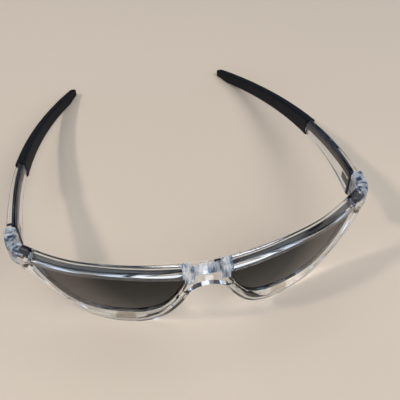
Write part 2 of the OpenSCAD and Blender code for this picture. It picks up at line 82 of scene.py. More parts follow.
# Places that follow from these
SEAM_ANGLE = math.asin((LENS_X + LENS_W + SEAM_OUT) / BASE_R)
HINGE_Y = BASE_R * (1 - math.cos(SEAM_ANGLE)) + LUG_L
LUG_IN = LUG_OUT - LUG_W
LUG_TOP_FRONT = LENS_TOP + LUG_RISE
LUG_TOP, LUG_LOW_FRONT = LUG_TOP_FRONT - LUG_DROP, LUG_TOP_FRONT - LUG_H_FRONT
LUG_LOW = LUG_TOP - LUG_H
HINGE_X, SWING_Y, KNUCKLE_Z = LUG_IN + HINGE_IN, HINGE_Y + SWING_GAP / 2, LUG_TOP - KNUCKLE_DOWN
SLOPE_Y, BEND_Y, SLEEVE_Y = HINGE_Y + SLOPE_START, HINGE_Y + BEND_START, HINGE_Y + SLEEVE_START
ARM_START, TIP_Y = HINGE_Y + SWING_GAP, HINGE_Y + ARM_L
CORE_Y = TIP_Y - CORE_END
CORE_SHRINK = SLEEVE_PROUD - SLEEVE_WALL - FIT
FRONT_Y = BASE_R - math.sqrt(BASE_R ** 2 - BAR_X ** 2)
RIBS_LOW = LENS_TOP - RIB_L
MIDDLE = (FRONT_Y + TIP_Y) / 2

# The opening in a rim and the way from it to the rim's outer edge, in order down the nose side,
# along the bottom, up the outer side and back along the top. The rows make an opening of OUTLINE_SIZE.
OUTLINE = np.array([
    [-0.3, 22.5, -3.6, 1.2], [3, 14.8, -RIM_NOSE - 1.1, -1.7],
    [7.3, 6.4, -RIM_NOSE - 0.6, -2.2], [13.7, 0.9, -3.2, 1.5 - RIM_LOW],
    [23, -0.6, -0.5, -RIM_LOW - 1.7], [33.2, 0.4, 1.5, 1.3 - RIM_LOW],
    [40.3, 3.4, 1.9, -2.3], [46.2, 11.3, RIM_SIDE - 0.5, -1.3],
    [51.6, 21.1, RIM_SIDE + 2.2, -1.9], [53.8, 27.1, 10.5, RIM_TOP + 2.6],
    [49.8, 26.3, 3.5, RIM_TOP + 1.9], [40.7, 25.7, 0, RIM_TOP + 1.1],
    [30.6, 26.5, 0, RIM_TOP + 0.9], [19.9, 26.2, -0.3, RIM_TOP + 1.4],
    [8.5, 25.3, -0.6, RIM_TOP + 2.1], [-0.7, 25.1, -3, RIM_TOP + 2.6],
])
OUTLINE_SIZE = (53.0, 26.8)
EDGE_IN = GROOVE_D - GROOVE_GAP
OPEN_SIZE = (LENS_W - 2 * EDGE_IN, LENS_H - 2 * EDGE_IN)
OPEN_LOOP = OUTLINE[:, :2] * (OPEN_SIZE[0] / OUTLINE_SIZE[0], OPEN_SIZE[1] / OUTLINE_SIZE[1])
OPEN_LOOP = OPEN_LOOP + (LENS_X + EDGE_IN, LENS_Z + EDGE_IN)
RIM_LOOP = OPEN_LOOP + OUTLINE[:, 2:]


def loop_points(points, t):
    """The four points that pull the closed curve at t, and how far t is between the middle two."""
    k = int(math.floor(t))
    return points[[(k + i) % len(points) for i in (-1, 0, 1, 2)]], t - k


def on_loop(points, t):
    near, u = loop_points(points, t)
    return np.array([(1 - u) ** 3, 3 * u ** 3 - 6 * u ** 2 + 4,
                     -3 * u ** 3 + 3 * u ** 2 + 3 * u + 1, u ** 3]) @ near / 6


def slope_of(points, t):
    near, u = loop_points(points, t)
    return np.array([-(1 - u) ** 2, 3 * u ** 2 - 4 * u, -3 * u ** 2 + 2 * u + 1, u ** 2]) @ near / 2


def unit(v):
    return v / np.linalg.norm(v)


def open_edge(t, out):
    """A point on the rim's opening, moved out into the rim."""
    d = unit(slope_of(OPEN_LOOP, t))
    return on_loop(OPEN_LOOP, t) + out * np.array([d[1], -d[0]])


def rim_edge(t):
    """A point on the rim's outer edge, which stands flat on the table at its lowest."""
    p = on_loop(RIM_LOOP, t)
    return np.array([p[0], max(p[1], 0.0)])


def ball_y(p, set_back):
    """How far back the front's ball is at a point seen from the front."""
    return BASE_R - math.sqrt((BASE_R - set_back) ** 2 - p[0] ** 2 - (p[1] - CURVE_Z) ** 2)


def between(a, b, steps):
    return [a + (b - a) * i / steps for i in range(steps + 1)]


# Meshes

def add_object(name, data):
    obj = bpy.data.objects.new(name, data)
    bpy.context.scene.collection.objects.link(obj)
    return obj


def placed(points):
    """Points in millimetres from the front of the brow, as places in the frame."""
    return [(x * MM, (y - MIDDLE) * MM, z * MM) for x, y, z in points]


def mesh_object(name, verts, faces):
    mesh = bpy.data.meshes.new(name)
    mesh.from_pydata(placed(verts), [], faces)
    mesh.validate()
    outwards(mesh)
    return add_object(name, mesh)


def outwards(mesh):
    """Merges the doubles and turns the faces outwards."""
    bm = bmesh.new()
    bm.from_mesh(mesh)
    bmesh.ops.remove_doubles(bm, verts=bm.verts, dist=MERGE_DISTANCE)
    bmesh.ops.recalc_face_normals(bm, faces=bm.faces)
    bm.to_mesh(mesh)
    bm.free()


def loft(name, rings, closed=False):
    """A skin over rings of points: a closed loop of them, or a row with both ends filled."""
    n, m = len(rings[0]), len(rings)
    verts = [p for ring in rings for p in ring]
    faces = [(i * n + j, i * n + (j + 1) % n, (i + 1) % m * n + (j + 1) % n, (i + 1) % m * n + j)
             for i in range(m if closed else m - 1) for j in range(n)]
    if not closed:
        faces += [tuple(range(n)), tuple((m - 1) * n + j for j in reversed(range(n)))]
    return mesh_object(name, verts, faces)


def straight_bar(name, profile, x0, x1):
    """A straight bar along X with a side profile of [depth, height]."""
    return loft(name, [[(x, y, z) for y, z in profile] for x in (x0, x1)])


def cutting_block(x0, x1, y0, y1, z0, z1):
    return straight_bar("cutting_block", ((y0, z0), (y1, z0), (y1, z1), (y0, z1)), x0, x1)


def round_cutter(name, centre, radius, start, end, steps, turn):
    circle = [(radius * math.cos(2 * math.pi * k / steps), radius * math.sin(2 * math.pi * k / steps))
              for k in range(steps)]
    return loft(name, [[turn(centre, a, b, h) for a, b in circle] for h in (start, end)])


def along_y(c, a, b, h):
    return c[0] + a, h, c[1] + b


def along_z(c, a, b, h):
    return c[0] + a, c[1] + b, h


def rounded_section(w, h, r, low_r):
    """A box's outline with rounded corners, with a radius of its own for the lower two."""
    points = []
    for x, z, start, q in ((w - low_r, low_r, -90, low_r), (w - r, h - r, 0, r),
                           (r, h - r, 90, r), (low_r, low_r, 180, low_r)):
        for k in range(CORNER_STEPS + 1):
            a = math.radians(start + 90 * k / CORNER_STEPS)
            points.append((x + q * math.cos(a), z + q * math.sin(a)))
    return points


def boolean(obj, cutter, operation):
    """Joins or cuts with a second closed mesh, and removes that mesh."""
    mod = obj.modifiers.new("shape", "BOOLEAN")
    mod.operation, mod.object, mod.solver = operation, cutter, "MANIFOLD"
    settle(obj)
    bpy.data.objects.remove(cutter)


def settle(obj):
    """Turns an object with live modifiers into the plain mesh that they make."""
    evaluated = obj.evaluated_get(bpy.context.evaluated_depsgraph_get())
    mesh = bpy.data.meshes.new_from_object(evaluated)
    obj.modifiers.clear()
    old, obj.data = obj.data, mesh
    bpy.data.meshes.remove(old)


def finish_piece(obj, body, slot, material, *nodes):
    """The material, smooth shading with sharp edges, and what the frame has to know."""
    obj.data.materials.clear()
    obj.data.materials.append(material)
    obj.data.shade_smooth()
    obj.data.set_sharp_from_angle(angle=SHARP_ANGLE)
    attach(obj, body)
    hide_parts(*nodes)
    return obj


# Node trees, for the materials, the surroundings and the ribs

def add_node(tree, kind, given=None, **settings):
    """A node with its settings, and its inputs linked to a socket or set to a plain value."""
    node = tree.nodes.new(kind)
    for name, value in settings.items():
        setattr(node, name, value)
    feed(tree, node, given or {})
    return node


def feed(tree, node, given):
    for name, value in given.items():
        if isinstance(value, bpy.types.NodeSocket):
            tree.links.new(value, node.inputs[name])
        else:
            node.inputs[name].default_value = value


def parts_of(tree, coordinates):
    """X, Y and Z of one kind of coordinates."""
    where = add_node(tree, "ShaderNodeTexCoord")
    split = add_node(tree, "ShaderNodeSeparateXYZ", {"Vector": where.outputs[coordinates]})
    return split.outputs["X"], split.outputs["Y"], split.outputs["Z"]


def calculated(tree, operation, *values):
    """One sum of a Math node on one or two values."""
    return add_node(tree, "ShaderNodeMath", dict(enumerate(values)), operation=operation).outputs[0]


def spread(tree, value, low, high, given=(0.0, 1.0)):
    """Turns the given range of a value into low to high, and holds it there outside."""
    node = add_node(tree, "ShaderNodeMapRange", {"Value": value, "From Min": given[0], "From Max": given[1],
                                                 "To Min": low, "To Max": high})
    return node.outputs["Result"]


def fade(tree, value, start, full):
    """0 up to start and 1 past full, with a smooth change between."""
    node = add_node(tree, "ShaderNodeMapRange", {"Value": value, "From Min": start, "From Max": full},
                    interpolation_type="SMOOTHSTEP")
    return node.outputs["Result"]


def mixed(tree, share, first, second):
    """Two colours mixed. The mix node's colour inputs are numbers 6 and 7."""
    return add_node(tree, "ShaderNodeMix", {0: share, 6: first, 7: second}, data_type="RGBA").outputs[2]


def ramp(tree, value, stops):
    """Colours by a value, from stops of (value, colour)."""
    node = add_node(tree, "ShaderNodeValToRGB", {"Fac": value})
    for _ in stops[2:]:
        node.color_ramp.elements.new(0.5)
    for element, (at, colour) in zip(node.color_ramp.elements, stops):
        element.position, element.color = at, (*colour, 1)
    return node.outputs["Color"]


def noise(tree, scale, detail, stretch=(1, 1, 1)):
    """Noise on the object's own coordinates, which are in metres."""
    where = add_node(tree, "ShaderNodeTexCoord")
    size = add_node(tree, "ShaderNodeMapping", {"Vector": where.outputs["Object"], "Scale": stretch})
    node = add_node(tree, "ShaderNodeTexNoise", {"Vector": size.outputs["Vector"],
                                                 "Scale": scale, "Detail": detail})
    return node.outputs["Fac"]


def bump(tree, height, strength, distance):
    node = add_node(tree, "ShaderNodeBump", {"Height": height, "Strength": strength, "Distance": distance})
    return node.outputs["Normal"]


# Materials

PLASTIC_IOR, LENS_IOR = 1.49, 1.36
PLASTIC_TINT, PAD_TINT, FLOOR_TINT = (0.965, 0.98, 0.99), (0.95, 0.965, 0.975), (0.72, 0.6, 0.475)
CLOUD_BLUE, CLOUD_WHITE = (0.1, 0.16, 0.28), (0.95, 0.98, 1.0)
# Streak colours of the bridge: milky plastic, its white partly a painted highlight
STREAK_BLUE, STREAK_HIGHLIGHT_WHITE = (0.2, 0.28, 0.42), (0.93, 0.97, 1.0)
# Lens colours: a dark tint that carries painted shade, darkest at the brow and the nose
LENS_BROW, LENS_MIDDLE = (0.004, 0.0035, 0.0035), (0.001, 0.001, 0.001)
LENS_LOW, LENS_CORNER = (0.1, 0.09, 0.087), (0.1, 0.094, 0.092)
STEEL_DARK, STEEL_LIGHT = (0.03, 0.032, 0.038), (0.09, 0.095, 0.11)
STRIP_DARK, STRIP_LIGHT = (0.004, 0.005, 0.008), (0.012, 0.013, 0.018)
RUBBER_DARK, RUBBER_LIGHT = (0.002, 0.003, 0.005), (0.006, 0.008, 0.012)

# How plastic and lens dim the lamps' light
CLEAR_THROUGH, ARM_THROUGH, PAD_THROUGH = (0.92, 0.94, 0.96), (0.32, 0.34, 0.36), (0.85, 0.87, 0.88)
FROSTED_THROUGH, RIBBED_THROUGH, LENS_THROUGH = (0.7, 0.74, 0.8), (0.8, 0.84, 0.9), (0.3, 0.28, 0.27)

# In metres: heights and distances from the middle over which the lens's painted shade lightens, and how
# softly the milk and its painted highlight end
LENS_FADE_Z, LENS_FADE_X, MILK_AND_HIGHLIGHT_END = (0.007, 0.034), (0.007, 0.06), 0.0005


def new_material(name):
    mat = bpy.data.materials.new(name)
    mat.use_nodes = True
    return mat, mat.node_tree, mat.node_tree.nodes["Principled BSDF"]


def let_lamps_through(tree, shader, colour):
    """Lamps reach what is behind the plastic, as through the real one."""
    path = add_node(tree, "ShaderNodeLightPath")
    clear = add_node(tree, "ShaderNodeBsdfTransparent", {"Color": (*colour, 1)})
    mix = add_node(tree, "ShaderNodeMixShader", {"Fac": path.outputs["Is Shadow Ray"],
                                                 1: shader.outputs["BSDF"], 2: clear.outputs["BSDF"]})
    feed(tree, tree.nodes["Material Output"], {"Surface": mix.outputs["Shader"]})


def clear_plastic(name, tint, rough, through):
    mat, tree, shader = new_material(name)
    feed(tree, shader, {
        "Base Color": (*tint, 1), "IOR": PLASTIC_IOR, "Transmission Weight": 1.0,
        "Roughness": spread(tree, noise(tree, scale=260, detail=3), *rough),
        "Normal": bump(tree, noise(tree, scale=90, detail=1), strength=0.06, distance=0.0002)})
    let_lamps_through(tree, shader, through)
    return mat


def frosted_plastic():
    """The lugs: milky blue clouds in the clear plastic."""
    mat, tree, shader = new_material("frosted_plastic")
    cloud = noise(tree, scale=420, detail=3)
    feed(tree, shader, {
        "Base Color": ramp(tree, cloud, ((0.44, CLOUD_BLUE), (0.52, CLOUD_WHITE))),
        "IOR": PLASTIC_IOR, "Transmission Weight": 0.75, "Roughness": spread(tree, cloud, 0.02, 0.2)})
    let_lamps_through(tree, shader, FROSTED_THROUGH)
    return mat


def ribbed_plastic():
    """The bridge and its ribs: milky blue in upright streaks whose white is partly a painted highlight, clear
    below the ribs' lower ends.
    """
    mat, tree, shader = new_material("ribbed_plastic")
    height = parts_of(tree, "Object")[2]
    ends = (RIBS_LOW * MM - MILK_AND_HIGHLIGHT_END, RIBS_LOW * MM + MILK_AND_HIGHLIGHT_END)
    streaks = noise(tree, scale=700, detail=3, stretch=(1, 0.25, 0.25))
    # Milky streaks, partly a painted whitish-blue highlight
    milky = ramp(tree, streaks, ((0.42, STREAK_BLUE), (0.54, STREAK_HIGHLIGHT_WHITE)))
    feed(tree, shader, {
        "Base Color": mixed(tree, spread(tree, height, 0.0, 1.0, ends), (*PLASTIC_TINT, 1), milky),
        "IOR": PLASTIC_IOR, "Transmission Weight": spread(tree, height, 1.0, 0.65, ends),
        "Roughness": spread(tree, streaks, 0.04, 0.2)})
    let_lamps_through(tree, shader, RIBBED_THROUGH)
    return mat


def tinted_lens_painted_shade():
    """A dark tint with painted shade: almost black at the brow and the nose, and lighter down and outwards.
    """
    mat, tree, shader = new_material("tinted_lens_painted_shade")
    across, _, height = parts_of(tree, "Object")
    # Painted shade: the value grows downwards and outwards, and the lens lightens with it
    down = spread(tree, height, 0.35, 0.0, LENS_FADE_Z)
    out = spread(tree, calculated(tree, "ABSOLUTE", across), -0.2, 0.9, LENS_FADE_X)
    feed(tree, shader, {
        "Base Color": ramp(tree, calculated(tree, "ADD", down, out), (
            (0.0, LENS_BROW), (0.45, LENS_MIDDLE), (0.7, LENS_LOW), (1.0, LENS_CORNER))),
        "IOR": LENS_IOR, "Transmission Weight": 1.0,
        "Roughness": spread(tree, noise(tree, scale=150, detail=2), 0.02, 0.05)})
    let_lamps_through(tree, shader, LENS_THROUGH)
    return mat


def dark_steel():
    mat, tree, shader = new_material("dark_steel")
    grain = noise(tree, scale=900, detail=4, stretch=(1, 1, 0.15))
    feed(tree, shader, {
        "Base Color": ramp(tree, grain, ((0.3, STEEL_DARK), (0.7, STEEL_LIGHT))),
        "Metallic": 1.0, "Roughness": spread(tree, grain, 0.25, 0.42)})
    return mat


def black_strip():
    mat, tree, shader = new_material("black_strip")
    grain = noise(tree, scale=700, detail=3, stretch=(1, 0.2, 1))
    feed(tree, shader, {
        "Base Color": ramp(tree, grain, ((0.3, STRIP_DARK), (0.7, STRIP_LIGHT))),
        "Specular IOR Level": 0.2, "Roughness": spread(tree, grain, 0.16, 0.28)})
    return mat


def black_rubber():
    mat, tree, shader = new_material("black_rubber")
    skin = noise(tree, scale=1500, detail=4)
    feed(tree, shader, {
        "Base Color": ramp(tree, skin, ((0.3, RUBBER_DARK), (0.75, RUBBER_LIGHT))),
        "Specular IOR Level": 0.12, "Roughness": spread(tree, skin, 0.5, 0.68),
        "Normal": bump(tree, skin, strength=0.25, distance=0.0001)})
    return mat


def pale_floor():
    mat, tree, shader = new_material("pale_floor")
    feed(tree, shader, {"Base Color": (*FLOOR_TINT, 1), "Roughness": 0.6})
    return mat


CLEAR = clear_plastic("clear_plastic", PLASTIC_TINT, (0.01, 0.035), CLEAR_THROUGH)
CLEAR_ARM = clear_plastic("clear_arm_plastic", PLASTIC_TINT, (0.01, 0.035), ARM_THROUGH)
SOFT_CLEAR = clear_plastic("soft_clear_rubber", PAD_TINT, (0.16, 0.26), PAD_THROUGH)
FROSTED, LENS, STEEL, RUBBER = frosted_plastic(), tinted_lens_painted_shade(), dark_steel(), black_rubber()
STRIP, RIBBED = black_strip(), ribbed_plastic()


# The front: two rims, a bridge with ribbed shoulders, and what is cut from them

def rim(side):
    """A ring round the opening. Its section is made of [way, depth] pairs.

    The way is measured from the rim's outer edge in, or from the opening out.
    """
    quarter = [math.radians(a) for a in range(0, 91, 15)]
    outside = [(RIM_ROUND - RIM_ROUND * math.sin(a), RIM_ROUND - RIM_ROUND * math.cos(a)) for a in quarter]
    outside += [(s, FRONT_D - b) for s, b in reversed(outside)]
    groove = LENS_SET - GROOVE_GAP, LENS_SET + LENS_T + GROOVE_GAP
    behind = [(BEVEL, FRONT_D), (BEVEL * BEVEL_MIDDLE, FRONT_D - BEVEL * BEVEL_MIDDLE), (0, FRONT_D - BEVEL),
              (0, groove[1]), (GROOVE_D, groove[1]), (GROOVE_D, groove[0]), (0, groove[0])]
    rings = []
    count = len(OUTLINE) * RIM_STEPS
    for i in range(count):
        t = i * len(OUTLINE) / count
        outer, edge = rim_edge(t), open_edge(t, 0)
        way = unit(outer - edge)
        bevel = BEVEL + BROW_BEVEL * min(max((edge[1] - LENS_TOP + BROW_START) / BROW_RUN, 0), 1)
        inside = behind + [(0, bevel), (bevel * BEVEL_MIDDLE, bevel * BEVEL_MIDDLE), (bevel, 0)]
        points = [(outer - way * s, b) for s, b in outside] + [(open_edge(t, s), b) for s, b in inside]
        rings.append([(side * p[0], ball_y(p, b), p[1]) for p, b in points])
    return loft("rim", rings, closed=True)


def bridge_profile():
    """Up the bridge's face, over its bevelled top and down its back, as [depth, height]."""
    y0, y1 = BRIDGE_SET, FRONT_D + 0.9
    front = ((y0 + 0.3, ARCH_Z), (y0, ARCH_Z + 8), (y0, BRIDGE_TOP - 4.2),
             (y0 + 0.5, BRIDGE_TOP - 2.9), (y0 + 1.9, BRIDGE_TOP - 0.5), (y0 + 2.7, BRIDGE_TOP - 0.1))
    back = ((y1 - 0.8, BRIDGE_TOP - 0.1), (y1, BRIDGE_TOP - 0.9), (y1 + 0.6, ARCH_Z + 8), (y1 + 1, ARCH_Z))
    return front + back


def beyond_seam(side):
    """All that is past the seam with the lug: a block turned to the seam's angle."""
    wide, near, far, low, high = 30, -BASE_R - 10, -BASE_R + 50, -1, 59
    c, s = math.cos(SEAM_ANGLE), math.sin(SEAM_ANGLE)
    corners = [(x * c - y * s, BASE_R + x * s + y * c)
               for x, y in ((0, near), (wide, near), (wide, far), (0, far))]
    return loft("beyond_seam", [[(side * x, y, z) for x, y in corners] for z in (low, high)])


def rib_tree():
    """Geometry nodes: a round bar along a path, repeated at even steps."""
    tree = bpy.data.node_groups.new("shoulder_ribs", "GeometryNodeTree")
    sockets = tree.interface
    sockets.new_socket("Path", in_out="INPUT", socket_type="NodeSocketGeometry")
    for label, kind, value in (("Count", "NodeSocketInt", 3), ("Step", "NodeSocketVector", (0.001, 0, 0)),
                               ("Radius", "NodeSocketFloat", 0.0003), ("Bend", "NodeSocketFloat", 0.0005),
                               ("Plastic", "NodeSocketMaterial", None)):
        socket = sockets.new_socket(label, in_out="INPUT", socket_type=kind)
        if value is not None:
            socket.default_value = value
    sockets.new_socket("Ribs", in_out="OUTPUT", socket_type="NodeSocketGeometry")
    given = add_node(tree, "NodeGroupInput").outputs
    line = add_node(tree, "GeometryNodeMeshToCurve", {"Mesh": given["Path"]})
    bend = add_node(tree, "GeometryNodeFilletCurve", mode="POLY")
    feed(tree, bend, {"Curve": line.outputs["Curve"], "Radius": given["Bend"], "Count": RIB_BEND_STEPS})
    section = add_node(tree, "GeometryNodeCurvePrimitiveCircle", {"Resolution": RIB_SIDES,
                                                                   "Radius": given["Radius"]})
    rib = add_node(tree, "GeometryNodeCurveToMesh", {"Curve": bend.outputs["Curve"], "Fill Caps": True,
                                                     "Profile Curve": section.outputs["Curve"]})
    places = add_node(tree, "GeometryNodeMeshLine", {"Count": given["Count"], "Offset": given["Step"]})
    repeat = add_node(tree, "GeometryNodeInstanceOnPoints", {"Points": places.outputs["Mesh"],
                                                             "Instance": rib.outputs["Mesh"]})
    real = add_node(tree, "GeometryNodeRealizeInstances", {"Geometry": repeat.outputs["Instances"]})
    dressed = add_node(tree, "GeometryNodeSetMaterial", {"Geometry": real.outputs["Geometry"],
                                                         "Material": given["Plastic"]})
    add_node(tree, "NodeGroupOutput", {"Ribs": dressed.outputs["Geometry"]})
    return tree


def set_inputs(mod, tree, values):
    """Sets a modifier's inputs by the identifiers of the tree's sockets."""
    for item in tree.interface.items_tree:
        if item.item_type == "SOCKET" and item.name in values:
            mod[item.identifier] = values[item.name]


def make_ribs(side, tree):
    """The ribs of one shoulder: up its face, round the edge and back over the top."""
    pitch = (BAR_X - BRIDGE_HALF) / (RIB_COUNT + 0.5)
    face_y, rise = SHOULDER_SET + FRONT_Y, RIB_H - RIB_W / 2
    x = side * (BAR_X - pitch + RIB_W / 2)
    path = [(x, face_y - rise, RIBS_LOW), (x, face_y - rise, BRIDGE_TOP + rise),
            (x, FRONT_D + FRONT_Y, BRIDGE_TOP + rise)]
    mesh = bpy.data.meshes.new("rib_path")
    mesh.from_pydata(placed(path), [(0, 1), (1, 2)], [])
    ribs = add_object("ribs", mesh)
    mod = ribs.modifiers.new("ribs", "NODES")
    mod.node_group = tree
    set_inputs(mod, tree, {"Count": RIB_COUNT, "Step": (-side * pitch * MM, 0, 0),
                           "Radius": RIB_W / 2 * MM, "Bend": RIB_BEND * MM, "Plastic": CLEAR})
    settle(ribs)
    outwards(ribs.data)
    return ribs


def dress_ribs(front):
    """Milky plastic, partly a painted highlight, on the ribbed shoulders, their inner sides and the bridge's
    face between them.
    """
    near = 0.05
    front.data.materials.append(RIBBED)
    for face in front.data.polygons:
        across, depth, height = abs(face.center.x) / MM, face.center.y / MM + MIDDLE, face.center.z / MM
        by_ribs = height > RIBS_LOW - RIB_W
        on_shoulder = by_ribs and BRIDGE_HALF - near < across < BAR_X + near and (
            height > BRIDGE_TOP - near or depth < FRONT_Y + SHOULDER_SET + near)
        beside_bridge = by_ribs and abs(across - BRIDGE_HALF) < near
        # The bridge's face gets the milky colour too: a painted highlight over a dark reflection
        on_bridge = height > RIBS_LOW and across < BRIDGE_HALF and face.normal.y < -0.5
        if on_shoulder or beside_bridge or on_bridge:
            face.material_index = 1


def make_front():
    front = rim(1)
    boolean(front, rim(-1), "UNION")
    boolean(front, straight_bar("bridge", bridge_profile(), -BRIDGE_REACH, BRIDGE_REACH), "UNION")
    # The cutters end well past the front, apart from the sides that shape it
    before, behind, far_behind, tall = -5, 15, 25, 20
    low = CURVE_Z - 9
    cuts = [cutting_block(-BAR_X, BAR_X, before, FRONT_Y + SHOULDER_SET, low, low + tall),
            cutting_block(-BAR_X, BAR_X, before, behind, BRIDGE_TOP, BRIDGE_TOP + tall),
            cutting_block(-BRIDGE_HALF, BRIDGE_HALF, before, BRIDGE_SET, low, low + tall),
            round_cutter("arch", (0, ARCH_Z), ARCH_R, before, far_behind, ARCH_SIDES, along_y),
            beyond_seam(1), beyond_seam(-1)]
    for cut in cuts:
        boolean(front, cut, "DIFFERENCE")
    tree = rib_tree()
    for _, side in SIDES:
        boolean(front, make_ribs(side, tree), "UNION")
    front.name = "clear_front"
    finish_piece(front, "front", "clear_plastic", CLEAR, "front_frame")
    dress_ribs(front)


def make_lens(name, side):
    """Two faces of the ball, each of rings that shrink to the lens's middle, joined round the edge."""
    count = len(OUTLINE) * LENS_STEPS
    edge = [open_edge(i * len(OUTLINE) / count, EDGE_IN) for i in range(count)]
    centre = np.mean(edge, axis=0)
    verts, faces = [], []
    for set_back in (LENS_SET, LENS_SET + LENS_T):
        start = len(verts)
        for k in range(LENS_RINGS):
            for p in edge:
                q = centre + (p - centre) * (1 - k / LENS_RINGS)
                verts.append((side * q[0], ball_y(q, set_back), q[1]))
        verts.append((side * centre[0], ball_y(centre, set_back), centre[1]))
        for k in range(LENS_RINGS - 1):
            for j in range(count):
                a, b = start + k * count + j, start + k * count + (j + 1) % count
                faces.append((a, b, b + count, a + count))
        last, middle = start + (LENS_RINGS - 1) * count, start + LENS_RINGS * count
        faces += [(last + j, last + (j + 1) % count, middle) for j in range(count)]
    back = LENS_RINGS * count + 1
    faces += [(j, (j + 1) % count, back + (j + 1) % count, back + j) for j in range(count)]
    # The lens, whose dark tint carries painted shade
    lens = mesh_object(name + "_tinted_lens_painted_shade", verts, faces)
    finish_piece(lens, "front", "lens_tint", LENS, name + "_lens")


def make_pad(name, side):
    """An oval pad down the nose, thinnest at its two ends and flared to the back."""
    rings = []
    for f in between(0, 1, PAD_RINGS):
        z = PAD_TOP + (PAD_LOW - PAD_TOP) * (1 - math.cos(math.pi * f)) / 2
        size = PAD_END + (1 - PAD_END) * math.sin(math.pi * f)
        x = LENS_X + PAD_IN + PAD_SPREAD * f ** PAD_CURVE
        y = ball_y((x, z), FRONT_D) + SEAM_GAP + PAD_D / 2
        ring = []
        for k in range(PAD_SIDES):
            a = 2 * math.pi * k / PAD_SIDES
            u, v = PAD_T / 2 * size * math.cos(a), PAD_D / 2 * size * math.sin(a)
            ring.append((side * (x + u * math.cos(PAD_FLARE) + v * math.sin(PAD_FLARE)),
                         y - u * math.sin(PAD_FLARE) + v * math.cos(PAD_FLARE), z))
        rings.append(ring)
    pad = loft(name + "_soft_pad", rings)
    finish_piece(pad, "front", "clear_rubber", SOFT_CLEAR, name + "_nose_pad")


# The lugs, with room for the hinges

def lug_plan(u, set_back, x_end):
    """The lug's side from above: a curve that leaves the front along the ball and ends along the arm."""
    along = np.array([math.cos(SEAM_ANGLE), math.sin(SEAM_ANGLE)])
    out = np.array([math.sin(SEAM_ANGLE), -math.cos(SEAM_ANGLE)])
    a = np.array([0, BASE_R]) + out * (BASE_R - set_back) + along * SEAM_GAP
    d = np.array([x_end, HINGE_Y])
    reach = np.linalg.norm(d - a) * LUG_REACH
    b, c = a + along * reach, d - (0, reach)
    return a * (1 - u) ** 3 + 3 * b * u * (1 - u) ** 2 + 3 * c * u ** 2 * (1 - u) + d * u ** 3


def hinge_cuts(side):
    """Room for the turning knuckles, and the notch that lets the arm fold."""
    pitch, reach = KNUCKLE_H + KNUCKLE_GAP, HINGE_IN + KNUCKLE_R
    low = KNUCKLE_Z - KNUCKLE_H / 2 - pitch - POCKET_GAP
    pocket = round_cutter("pocket", (side * HINGE_X, SWING_Y), KNUCKLE_R + POCKET_GAP,
                          low, low + 3 * pitch + HEAD_H + 2 * POCKET_GAP, POCKET_SIDES, along_z)
    wide, past = NOTCH_SLOPE * reach + SWING_GAP, 5
    corners = ((SWING_GAP / 2, 0), (-reach, wide), (-reach, -wide))
    notch = loft("notch", [[(side * (HINGE_X + x), SWING_Y + y, z) for x, y in corners]
                           for z in (LUG_LOW - past, LUG_TOP + past)])
    return pocket, notch


def cut_for_hinge(piece, side):
    for cut in hinge_cuts(side):
        boolean(piece, cut, "DIFFERENCE")


def make_lug(name, side):
    """Rounded sections along the two curves of the plan. It grows deeper towards the hinge."""
    rings = []
    for u in between(0, 1, LUG_RINGS):
        outer, inner = lug_plan(u, 0, LUG_OUT), lug_plan(u, FRONT_D, LUG_IN)
        top = LUG_TOP_FRONT + (LUG_TOP - LUG_TOP_FRONT) * u
        low = LUG_LOW_FRONT + (LUG_LOW - LUG_LOW_FRONT) * u ** 3
        w = np.linalg.norm(outer - inner)
        ring = []
        for s, h in rounded_section(w, top - low, RIM_ROUND, RIM_ROUND):
            p = inner + (outer - inner) * s / w
            ring.append((side * p[0], p[1], low + h))
        rings.append(ring)
    lug = loft(name + "_frosted_lug", rings)
    cut_for_hinge(lug, side)
    finish_piece(lug, "front", "frosted_plastic", FROSTED, name + "_lug")


# The arms and their sleeves

def arm_out(y):
    """The arm's outer side: straight behind the lug, and then on a wide circle."""
    return LUG_OUT - ARM_STEP - (BEND_R - math.sqrt(BEND_R ** 2 - (y - BEND_Y) ** 2) if y > BEND_Y else 0)


def eased(d):
    """0 well before a corner and d well past it, with a soft change between."""
    return (d + math.sqrt(d * d + SLOPE_EASE ** 2)) / 2


def arm_top(y):
    """The arm's top: level at the lug, and then a straight slope down to the tip."""
    start = LUG_TOP - ARM_DROP
    return start - (start - TIP_TOP) * eased(y - SLOPE_Y) / eased(TIP_Y - SLOPE_Y)


def low_round(y, r):
    """The radius of the lower edges, which are sharp at the hinge."""
    return min(r, ARM_EDGE + (ARM_ROUND - ARM_EDGE) * max(y - HINGE_Y, 0) / EDGE_RUN)


def arm_ring(y, grow, r, side):
    """The arm's section at y, grown on all sides, with upper edges of radius r."""
    thick = ARM_T + (ARM_TIP_T - ARM_T) * (y - HINGE_Y) / (TIP_Y - HINGE_Y)
    high = arm_top(y) + grow
    low = max(arm_top(y) - ARM_TIP_H - (ARM_H - ARM_TIP_H) * math.exp((HINGE_Y - y) / ARM_TAPER), 0)
    low = max(low - grow, 0)
    x0, w = arm_out(y) - thick - grow, thick + 2 * grow
    return [(side * (x0 + s), y, low + h) for s, h in rounded_section(w, high - low, r, low_round(y, r))]


def make_arm(name, side):
    """The clear arm, and the thinner core that carries the sleeve."""
    rings = [arm_ring(y, 0, ARM_ROUND, side) for y in between(ARM_START, SLEEVE_Y, ARM_RINGS)]
    rings += [arm_ring(y, CORE_SHRINK, CORE_ROUND, side) for y in between(SLEEVE_Y, CORE_Y, CORE_RINGS)]
    arm = loft(name + "_clear_arm", rings)
    cut_for_hinge(arm, side)
    finish_piece(arm, name + "_temple", "clear_plastic_arm", CLEAR_ARM, name + "_arm")


